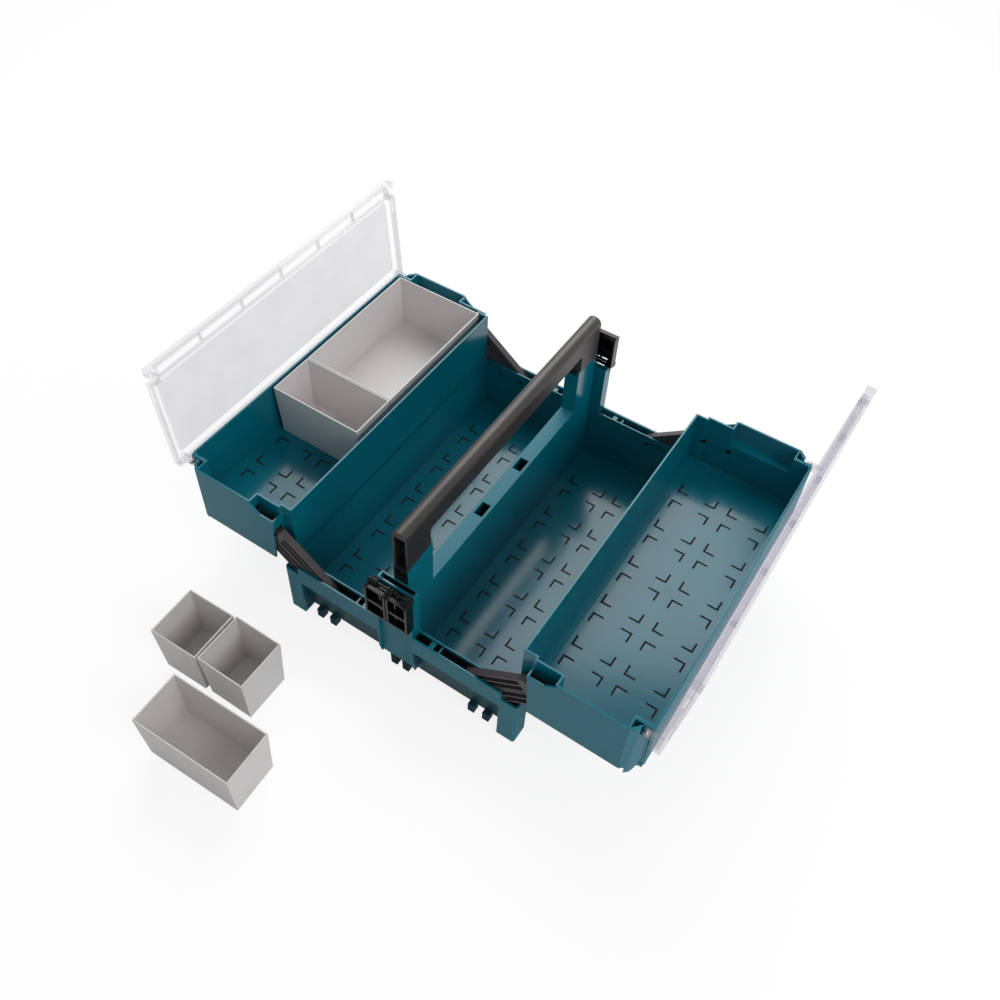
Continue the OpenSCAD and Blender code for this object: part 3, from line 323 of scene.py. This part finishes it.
def painted_peg_shade(at, x):
    """Painted shade: 1 round an arm's pin on the inside of a tray's end walls, a small dark disc for a well
    in the wall.
    """
    away = squared_from(abs(at[0]), at[2], (x, PEG_Z))
    return (away < PEG_RADIUS * PEG_RADIUS) * inside(at, y=PEG_WALL_Y)


def tray_painted_shade_and_gates(at, facing):
    """Painted shade: 1 in the marks sunk 0.7 mm into a tray's floor, in the end pockets over the arms and
    round the arms' pins; and a little on the faint rings that the mould's gates left on the floor."""
    marks = corner_marks(at, TRAY_MIDDLE, TRAY_FLOOR)
    pockets = inside(at, x=POCKET_X, y=POCKET_Y, z=(LEAST, POCKET_TOP))
    gates = sum(gate_ring(at, point) for point in GATES)
    # Painted shade round the arms' pins.
    sunk = sum(painted_peg_shade(at, x) for x in PEGS_X)
    return ((marks + pockets) > 0.5) + gates * GATE_SHARE + sunk


tray_finish = moulded("tray_plastic", tray_grained, tray_painted_shade_and_gates)
for side in ("right", "left"):
    dress("tray_" + side, tray_finish)

# Eight flat arms carry the trays, two at each end of each, moulded in the grip's dark plastic with hollows
# that leave a rim and a middle rib.
ARM_DARK, ARM_LIGHT = (0.056, 0.047, 0.050), (0.112, 0.094, 0.099)
# The arms share the grip's painted light: paler toward the far end and where they face up.
arm_finish = grip_plastic("arm_plastic", ARM_DARK, ARM_LIGHT, 0.36, 0.00014)
for side in ("right", "left"):
    for end in ("near", "far"):
        for place_of in ("inner", "outer"):
            dress(f"arm_{place_of}_{end}_{side}", arm_finish, 0.0003)


# The pins that the arms and lids turn on are drawn steel. The lids' are left bright, and the arms' are
# blacked, so that they show as dark dots in the trays' end walls.
def pin_steel(name, dark, light):
    """Steel with fine rings of drawing marks round the pins and a slight tarnish."""
    made, shader, place = new_finish(name)
    drawn = place.noise(cells=2600, detail=2, stretch=(0.05, 1, 0.05))
    tarnish = place.noise(cells=160, detail=3)
    colour = (tarnish * 0.7 + drawn * 0.3).shade(dark, light)
    plug(shader, {"Base Color": colour, "Metallic": 1.0, "Roughness": 0.2 + tarnish * 0.18,
                  "Normal": place.bump(0.4, 0.00003, drawn)})
    return made


steel = pin_steel("pin_steel_bright", (0.42, 0.42, 0.43), (0.74, 0.74, 0.75))
for node in ("hinge_pins_right", "hinge_pins_left"):
    dress(node, steel, 0.0002)
black_steel = pin_steel("pin_steel_black", (0.010, 0.010, 0.011), (0.030, 0.030, 0.032))
for node in ("lower_pins", "upper_pins_right", "upper_pins_left"):
    dress(node, black_steel, 0.0002)

# The lids are one moulding each of clear polycarbonate with a faint lilac cast, polished on both faces but
# for the sunk window, which is frosted a little. Each turns on two pins in its tray's outer corners.
LILAC_DARK, LILAC_LIGHT = (0.40, 0.38, 0.47), (0.50, 0.48, 0.57)
WINDOW_Y, WINDOW_Z = 0.188, (0.1610, 0.2590)


def clear_plastic():
    """Clear plastic: nearly open on its broad faces, more lilac in the frosted window, and grey where it is
    seen edge-on or through its thin walls."""
    made, shader, place = new_finish("lid_plastic")
    at, facing = place.parts(), coordinates(made, "Normal").parts()
    smear = place.noise(cells=30, detail=4)
    panel = abs(facing[0]) > 0.7
    window = panel * inside(at, y=(LEAST, WINDOW_Y), z=WINDOW_Z)
    edge_on = place.node("LayerWeight", {}, {"Blend": 0.3}, "Facing")
    veil = 0.02 + window * (0.12 + smear * 0.09) + (1.0 - panel) * 0.2 + edge_on * 0.05
    plug(shader, {"Base Color": smear.shade(LILAC_DARK, LILAC_LIGHT), "Alpha": veil, "IOR": 1.4,
                  "Roughness": 0.05 + smear * 0.06 + window * 0.1})
    return made


lid_finish = clear_plastic()
for side in ("right", "left"):
    dress("lid_" + side, lid_finish, 0.0003)


# The latches are glossy black levers, two side by side at each end, that flip over on their pins. Both near
# ones and the far left one hang open, and the far right one stands up.
def latch_plastic():
    """Glossy black plastic with fine scuffs where a thumb and the column rub it."""
    made, shader, place = new_finish("latch_plastic")
    scuff = place.noise(cells=70, detail=5, stretch=(1, 4, 1))
    plug(shader, {"Base Color": scuff.shade((0.002, 0.002, 0.003), (0.009, 0.008, 0.009)), "IOR": 1.36,
                  "Roughness": 0.14 + scuff * 0.16, "Normal": place.bump(0.4, 0.0001, scuff)})
    return made


latch_finish = latch_plastic()
for end in ("near", "far"):
    for side in ("right", "left"):
        dress(f"latch_{end}_{side}", latch_finish, 0.0004)
dress("latch_pins", latch_finish, 0.0002)


# The insert bins are thin, tapered cups of pale, warm grey plastic with a fine matt grain. They lie loose,
# two in the left tray and three on the floor.
def bin_plastic():
    """Pale matt plastic, a little uneven in colour, with a fine grain."""
    made, shader, place = new_finish("bin_plastic")
    cloud, grain = place.noise(cells=12, detail=3), place.noise(cells=1000, detail=3)
    colour = (cloud * 0.7 + grain * 0.3).shade((0.640, 0.622, 0.612), (0.720, 0.700, 0.690))
    plug(shader, {"Base Color": colour, "Roughness": 0.42 + grain * 0.1, "IOR": 1.48,
                  "Normal": place.bump(0.4, 0.0001, grain)})
    return made


bin_finish = bin_plastic()
for node in ("bin_large", "bin_medium_tray", "bin_medium_floor", "bin_small_a", "bin_small_b"):
    dress(node, bin_finish, 0.0004)

# The case stands on a plain white floor in a white room, under one wide soft lamp beyond its far end and a
# smaller one to its right.
FLOOR_HALF, FLOOR_ROWS, FLOOR_WHITE = 6.0, 5, (0.86, 0.86, 0.87, 1)
FLOOR_GLOW, FLOOR_SEEN, FLOOR_MIRRORED = 1.06, 0.8, 0.25
ROOM_LIGHT, ROOM_SEEN, ROOM_MIRRORED = 0.34, 0.66, 0.3
PURE_WHITE = (1, 1, 1, 1)


def floor_sheet(half, rows):
    """A flat square grid at z = 0: x and y run from -half to half in equal steps."""
    line = np.linspace(-half, half, rows)
    x, y = np.meshgrid(line, line)
    points = np.stack([x.ravel(), y.ravel(), np.zeros(x.size)], 1)
    first = (np.arange(rows - 1)[:, None] * rows + np.arange(rows - 1)[None, :]).ravel()
    faces = np.stack([first, first + 1, first + rows + 1, first + rows], 1)
    mesh = bpy.data.meshes.new("floor")
    mesh.from_pydata(points.tolist(), [], faces.tolist())
    sheet = bpy.data.objects.new("floor", mesh)
    bpy.context.scene.collection.objects.link(sheet)
    return sheet


def seen(tree, mirrored):
    """1 for what the camera sees, straight or through glass, and a share of that for what it mirrors."""
    path = tree.nodes.new("ShaderNodeLightPath")
    straight, glossy, through = (
        Wire(tree, path.outputs[f"Is {kind} Ray"]) for kind in ("Camera", "Glossy", "Transmission"))
    return straight.math("MAXIMUM", (glossy * mirrored).math("MAXIMUM", through))


floor = floor_sheet(FLOOR_HALF, FLOOR_ROWS)
white, paint, place = new_finish("floor_white")
plug(paint, {"Base Color": FLOOR_WHITE, "Roughness": 0.7})
painted = Wire(white.node_tree, paint.outputs[0])
glow = place.node("Emission", {}, {"Color": PURE_WHITE, "Strength": FLOOR_GLOW})
share = seen(white.node_tree, FLOOR_MIRRORED) * FLOOR_SEEN
lit = place.node("MixShader", {}, {0: share, 1: painted, 2: glow})
plug(white.node_tree.nodes["Material Output"], {"Surface": lit})
floor.data.materials.append(white)

world = bpy.data.worlds.new("room")
bpy.context.scene.world = world
world.use_nodes = True
strength = seen(world.node_tree, ROOM_MIRRORED) * ROOM_SEEN + ROOM_LIGHT
plug(world.node_tree.nodes["Background"], {"Color": PURE_WHITE, "Strength": strength})


def softbox(name, place, aimed_at, width, depth, power):
    """A flat lamp that faces a point."""
    data = bpy.data.lights.new(name, "AREA")
    data.shape, data.size, data.size_y, data.energy = "RECTANGLE", width, depth, power
    away = np.array(place) - np.array(aimed_at)
    away /= np.linalg.norm(away)
    right = np.cross((0, 0, 1), away)
    right /= np.linalg.norm(right)
    stand(name, data, right, np.cross(away, right), away, place)


softbox("far_lamp", (-0.62, 1.05, 1.45), aimed_at=(0, 0, 0.05), width=1.5, depth=1.2, power=23)
softbox("right_lamp", (1.75, -0.35, 1.35), aimed_at=(0, 0, 0.05), width=1.1, depth=1.1, power=18)

bpy.context.scene.view_settings.view_transform = "Standard"
